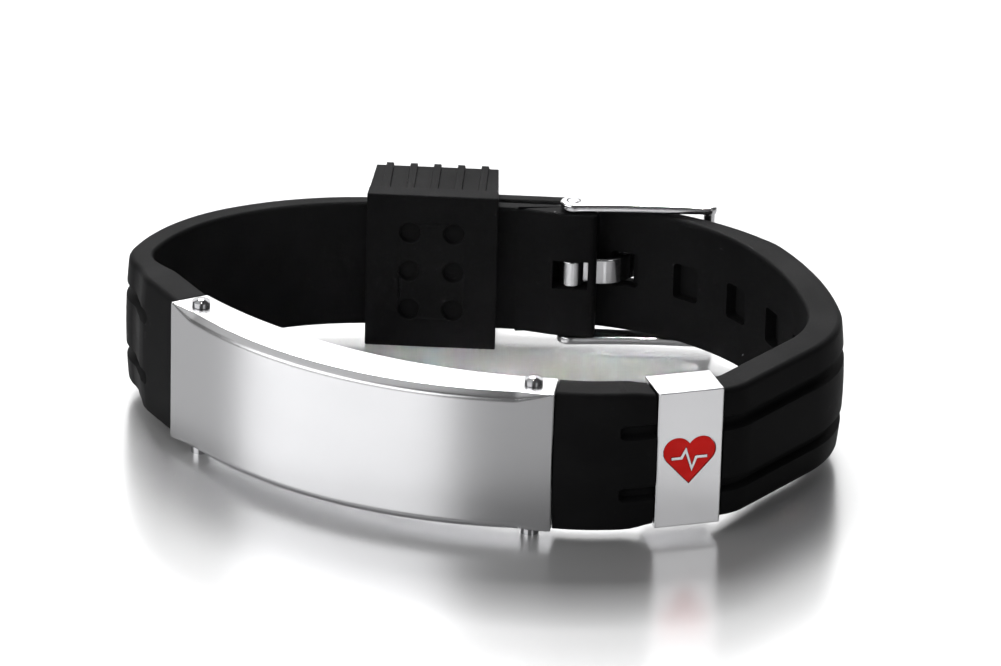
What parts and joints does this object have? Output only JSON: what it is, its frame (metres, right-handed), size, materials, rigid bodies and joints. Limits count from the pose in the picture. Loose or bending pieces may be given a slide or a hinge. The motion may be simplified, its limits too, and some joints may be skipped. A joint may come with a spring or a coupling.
{
  "type": "medical alert bracelet",
  "caption": "Medical alert bracelet: curved steel plate on a black rubber strap with pin buckle, strap keeper and sliding steel tag with a red enamel heart.",
  "frame": {"origin": "middle of the bracelet's outline, on the surface that it rests on", "axes": "+Z along the axis of the wrist, -Y towards the steel plate, +X towards the sliding tag"},
  "size_m": [0.079, 0.0612, 0.0185],
  "materials": {
    "plate_steel": "satin, polished bevels",
    "rivet_steel": "polished",
    "strap_rubber": "matte black",
    "keeper_rubber": "matte black",
    "buckle_steel": "polished",
    "tag_steel": "satin",
    "enamel": "glossy red enamel"
  },
  "bodies": {
    "root": {"id_plate": "plate_steel", "rivet_left": "rivet_steel", "rivet_right": "rivet_steel", "strap_short": "strap_rubber", "strap_long": "strap_rubber", "keeper": "keeper_rubber", "buckle_frame": "buckle_steel", "hinge_pin": "buckle_steel", "prong": "buckle_steel", "tag_sleeve": "tag_steel", "tag_enamel": "enamel"}
  },
  "joints": []
}
